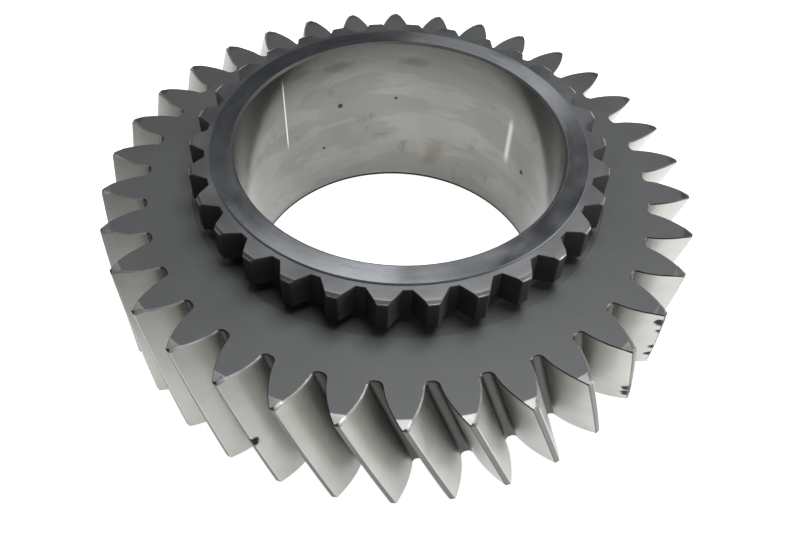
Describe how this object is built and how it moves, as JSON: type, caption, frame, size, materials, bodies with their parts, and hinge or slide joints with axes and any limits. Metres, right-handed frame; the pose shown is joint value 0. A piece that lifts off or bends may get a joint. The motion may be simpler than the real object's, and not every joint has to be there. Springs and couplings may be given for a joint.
{
  "type": "transmission gear",
  "caption": "Left-hand helical gear for a truck gearbox, with a plain ground bore, a flat web and a ring of straight clutch teeth on one side.",
  "frame": {"origin": "on the gear's axis, in the plane of the lower thrust face", "axes": "+Z along the bore, from the lower thrust face towards the clutch teeth; +X through the middle of a tooth at the web face"},
  "size_m": [0.1746, 0.1746, 0.0583],
  "materials": {
    "helical_gear": "ground steel on the bore, thrust faces and tooth flanks, with a matt dark grey turned web and darker clutch teeth"
  },
  "bodies": {
    "root": {"helical_gear": "helical_gear"}
  },
  "joints": []
}
